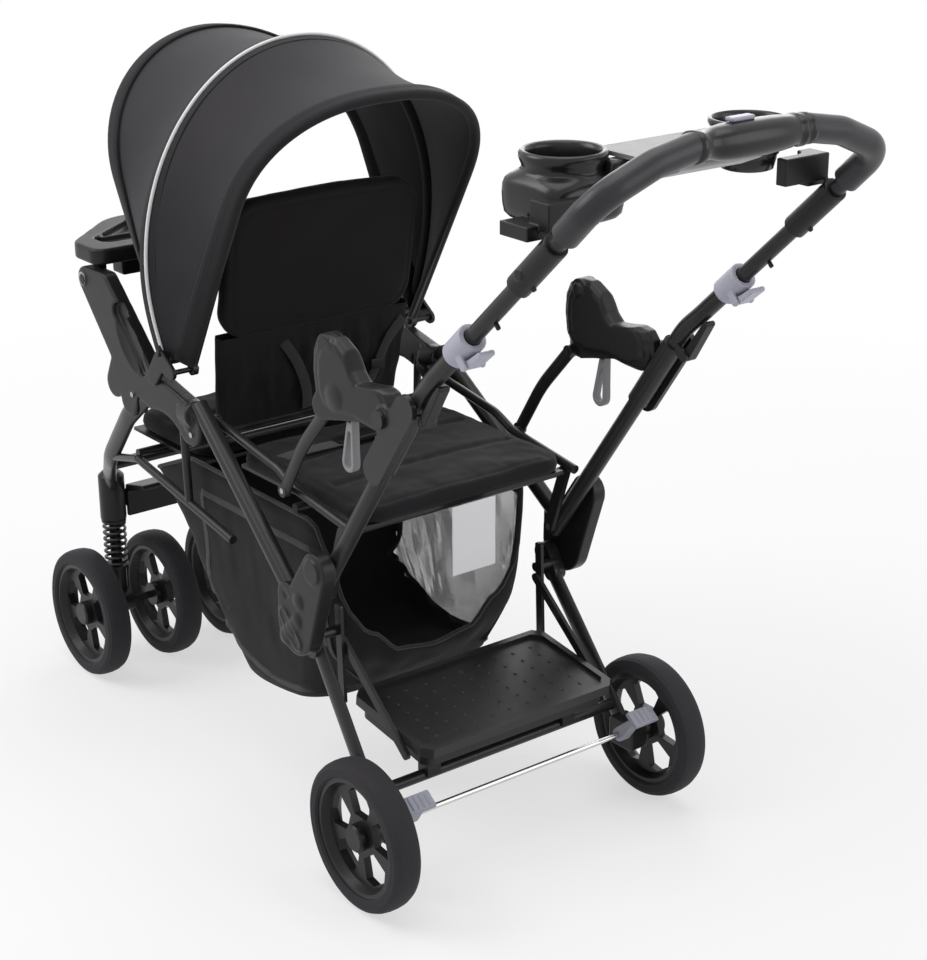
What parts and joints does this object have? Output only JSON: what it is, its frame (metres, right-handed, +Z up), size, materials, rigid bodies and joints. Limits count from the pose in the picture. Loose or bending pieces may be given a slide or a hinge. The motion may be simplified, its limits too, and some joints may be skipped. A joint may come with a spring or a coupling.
{
  "type": "sit and stand stroller",
  "caption": "Tandem pram frame with a canopied front seat, a rear bench and a standing platform, sprung swivel front wheels and a folding, height-adjustable handle.",
  "frame": {"origin": "middle of the overall box, on the floor under the wheels", "axes": "+X to the pusher's left, across the stroller; +Y to the rear, towards the pusher; +Z up. The child faces -Y."},
  "size_m": [0.54, 1.371, 1.0734],
  "materials": {
    "satin_black": "satin black powder coat",
    "black_plastic": "satin moulded plastic",
    "grey_plastic": "pale grey moulded plastic",
    "dark_grey_plastic": "dark grey moulded plastic",
    "rubber": "matt foam rubber",
    "tray_grey": "satin grey moulded plastic",
    "chrome": "bright plated steel",
    "canopy_cloth": "woven charcoal cloth",
    "seat_cloth": "woven black cloth",
    "basket_cloth": "black cloth and mesh",
    "foam_grip": "soft black foam"
  },
  "bodies": {
    "frame": {"side_panels": "black_plastic", "side_tubes": "satin_black", "fold_covers": "black_plastic", "front_leg_frame": "satin_black", "footrest": "dark_grey_plastic", "strut_barrels": "black_plastic", "seat_frame": "satin_black", "seat_pan": "satin_black", "seat_cushion": "seat_cloth", "canopy_pivots": "black_plastic", "basket": "basket_cloth", "frame_fasteners": "chrome", "bench_cushion": "seat_cloth"},
    "handle": {"handle_lower_frame": "satin_black", "clamp_collars": "grey_plastic"},
    "handle_top": {"handle_upper_tubes": "satin_black", "handle_grips": "foam_grip", "handle_console": "dark_grey_plastic", "parent_tray": "tray_grey", "cup_holders": "black_plastic", "handle_brackets": "black_plastic"},
    "handle_button": {"handle_button": "grey_plastic"},
    "handle_trigger": {"handle_trigger": "grey_plastic"},
    "rear_legs": {"rear_leg_frame": "satin_black", "standing_platform": "black_plastic", "platform_shell": "black_plastic", "brake_housings": "black_plastic"},
    "brake": {"brake_rod": "chrome", "brake_pedals": "grey_plastic"},
    "seat_back": {"seat_back": "seat_cloth"},
    "child_tray": {"child_tray": "dark_grey_plastic"},
    "canopy_rear": {"canopy_bow_rear": "satin_black", "canopy_cloth_rear": "canopy_cloth"},
    "canopy_middle": {"canopy_bow_middle": "satin_black"},
    "canopy_front": {"canopy_bow_front": "satin_black", "canopy_cloth_front": "canopy_cloth"},
    "clamp_lever_left": {"clamp_lever_left": "grey_plastic"},
    "latch_lever_left": {"latch_lever_left": "black_plastic"},
    "adapter_left": {"seat_adapter_left": "black_plastic"},
    "adapter_trigger_left": {"adapter_trigger_left": "grey_plastic"},
    "support_left": {"support_tube_left": "satin_black"},
    "rear_wheel_left": {"rear_tyre_left": "rubber", "rear_rim_left": "black_plastic"},
    "caster_left": {"caster_post_left": "satin_black", "suspension_spring_left": "satin_black"},
    "fork_left": {"caster_fork_left": "black_plastic"},
    "front_wheels_left": {"front_tyres_left": "rubber", "front_rims_left": "black_plastic"},
    "clamp_lever_right": {"clamp_lever_right": "grey_plastic"},
    "latch_lever_right": {"latch_lever_right": "black_plastic"},
    "adapter_right": {"seat_adapter_right": "black_plastic"},
    "adapter_trigger_right": {"adapter_trigger_right": "grey_plastic"},
    "support_right": {"support_tube_right": "satin_black"},
    "rear_wheel_right": {"rear_tyre_right": "rubber", "rear_rim_right": "black_plastic"},
    "caster_right": {"caster_post_right": "satin_black", "suspension_spring_right": "satin_black"},
    "fork_right": {"caster_fork_right": "black_plastic"},
    "front_wheels_right": {"front_tyres_right": "rubber", "front_rims_right": "black_plastic"}
  },
  "joints": [
    {"name": "frame_fold", "type": "hinge", "parent": "frame", "child": "handle", "pos_m": [0, 0.117, 0.379], "axis": [1, 0, 0], "range_deg": [0, 35], "deforming": ["basket"]},
    {"name": "rear_leg_fold", "type": "hinge", "parent": "frame", "child": "rear_legs", "pos_m": [0, 0.0885, 0.325], "axis": [1, 0, 0], "range_deg": [-30, 0]},
    {"name": "seat_recline", "type": "hinge", "parent": "frame", "child": "seat_back", "pos_m": [0, -0.2205, 0.486], "axis": [1, 0, 0], "range_deg": [-35, 0]},
    {"name": "tray_swing", "type": "hinge", "parent": "frame", "child": "child_tray", "pos_m": [0, -0.4645, 0.691], "axis": [1, 0, 0], "range_deg": [0, 60]},
    {"name": "canopy_fold", "type": "hinge", "parent": "frame", "child": "canopy_front", "pos_m": [0, -0.2395, 0.621], "axis": [1, 0, 0], "range_deg": [-32, 0], "deforming": ["canopy_cloth_front", "canopy_cloth_rear"]},
    {"name": "canopy_middle_fold", "type": "hinge", "parent": "frame", "child": "canopy_middle", "pos_m": [0, -0.2395, 0.621], "axis": [1, 0, 0], "range_deg": [-12, 0]},
    {"name": "canopy_rear_fold", "type": "hinge", "parent": "frame", "child": "canopy_rear", "pos_m": [0, -0.2125, 0.608], "axis": [1, 0, 0], "range_deg": [-4, 0]},
    {"name": "handle_height", "type": "slide", "parent": "handle", "child": "handle_top", "axis": [0, 0.7314, 0.682], "range_m": [-0.038, 0]},
    {"name": "release_button", "type": "slide", "parent": "handle_top", "child": "handle_button", "axis": [-1, 0, 0], "range_m": [0, 0.005], "stiffness_N_per_m": 400, "springref_m": -0.002},
    {"name": "release_trigger", "type": "hinge", "parent": "handle_top", "child": "handle_trigger", "pos_m": [0, 0.6195, 1.016], "axis": [1, 0, 0], "range_deg": [-14, 0], "stiffness_Nm_per_rad": 2, "springref_deg": 6.02},
    {"name": "brake_pedal", "type": "hinge", "parent": "rear_legs", "child": "brake", "pos_m": [0, 0.2835, 0.116], "axis": [1, 0, 0], "range_deg": [-25, 0]},
    {"name": "adapter_fold_left", "type": "hinge", "parent": "handle", "child": "adapter_left", "pos_m": [0, 0.2935, 0.678], "axis": [1, 0, 0], "range_deg": [-23, 0]},
    {"name": "support_fold_left", "type": "hinge", "parent": "frame", "child": "support_left", "pos_m": [0, 0.0335, 0.502], "axis": [1, 0, 0], "range_deg": [0, 66]},
    {"name": "adapter_release_left", "type": "hinge", "parent": "adapter_left", "child": "adapter_trigger_left", "pos_m": [0, 0.2075, 0.65], "axis": [1, 0, 0], "range_deg": [0, 10], "stiffness_Nm_per_rad": 0.6, "springref_deg": -8.02},
    {"name": "clamp_left", "type": "hinge", "parent": "handle", "child": "clamp_lever_left", "pos_m": [0, 0.45647, 0.78405], "axis": [1, 0, 0], "range_deg": [-70, 0]},
    {"name": "fold_latch_left", "type": "hinge", "parent": "handle", "child": "latch_lever_left", "pos_m": [0, 0.36586, 0.69013], "axis": [1, 0, 0], "range_deg": [-20, 0], "stiffness_Nm_per_rad": 0.6, "springref_deg": 8.02},
    {"name": "rear_spin_left", "type": "hinge", "parent": "rear_legs", "child": "rear_wheel_left", "pos_m": [0, 0.2695, 0.104], "axis": [1, 0, 0], "continuous": true},
    {"name": "swivel_left", "type": "hinge", "parent": "frame", "child": "caster_left", "pos_m": [0.126, -0.6065, 0.243], "axis": [0, 0, 1], "continuous": true},
    {"name": "suspension_left", "type": "slide", "parent": "caster_left", "child": "fork_left", "axis": [0, 0, 1], "range_m": [0, 0.015], "stiffness_N_per_m": 8000, "springref_m": -0.01, "deforming": ["suspension_spring_left"]},
    {"name": "front_spin_left", "type": "hinge", "parent": "fork_left", "child": "front_wheels_left", "pos_m": [0, -0.5815, 0.104], "axis": [1, 0, 0], "continuous": true},
    {"name": "adapter_fold_right", "type": "hinge", "parent": "handle", "child": "adapter_right", "pos_m": [0, 0.2935, 0.678], "axis": [1, 0, 0], "range_deg": [-23, 0]},
    {"name": "support_fold_right", "type": "hinge", "parent": "frame", "child": "support_right", "pos_m": [0, 0.0335, 0.502], "axis": [1, 0, 0], "range_deg": [0, 66]},
    {"name": "adapter_release_right", "type": "hinge", "parent": "adapter_right", "child": "adapter_trigger_right", "pos_m": [0, 0.2075, 0.65], "axis": [1, 0, 0], "range_deg": [0, 10], "stiffness_Nm_per_rad": 0.6, "springref_deg": -8.02},
    {"name": "clamp_right", "type": "hinge", "parent": "handle", "child": "clamp_lever_right", "pos_m": [0, 0.45647, 0.78405], "axis": [1, 0, 0], "range_deg": [-70, 0]},
    {"name": "fold_latch_right", "type": "hinge", "parent": "handle", "child": "latch_lever_right", "pos_m": [0, 0.36586, 0.69013], "axis": [1, 0, 0], "range_deg": [-20, 0], "stiffness_Nm_per_rad": 0.6, "springref_deg": 8.02},
    {"name": "rear_spin_right", "type": "hinge", "parent": "rear_legs", "child": "rear_wheel_right", "pos_m": [0, 0.2695, 0.104], "axis": [1, 0, 0], "continuous": true},
    {"name": "swivel_right", "type": "hinge", "parent": "frame", "child": "caster_right", "pos_m": [-0.126, -0.6065, 0.243], "axis": [0, 0, 1], "continuous": true},
    {"name": "suspension_right", "type": "slide", "parent": "caster_right", "child": "fork_right", "axis": [0, 0, 1], "range_m": [0, 0.015], "stiffness_N_per_m": 8000, "springref_m": -0.01, "deforming": ["suspension_spring_right"]},
    {"name": "front_spin_right", "type": "hinge", "parent": "fork_right", "child": "front_wheels_right", "pos_m": [0, -0.5815, 0.104], "axis": [1, 0, 0], "continuous": true}
  ],
  "couplings": [
    {"joint": "rear_leg_fold", "follows": "frame_fold", "ratio": -0.857},
    {"joint": "canopy_middle_fold", "follows": "canopy_fold", "ratio": 0.37},
    {"joint": "canopy_rear_fold", "follows": "canopy_fold", "ratio": 0.12},
    {"joint": "adapter_fold_left", "follows": "frame_fold", "ratio": -0.644},
    {"joint": "support_fold_left", "follows": "frame_fold", "ratio": 1.872},
    {"joint": "adapter_fold_right", "follows": "frame_fold", "ratio": -0.644},
    {"joint": "support_fold_right", "follows": "frame_fold", "ratio": 1.872}
  ]
}
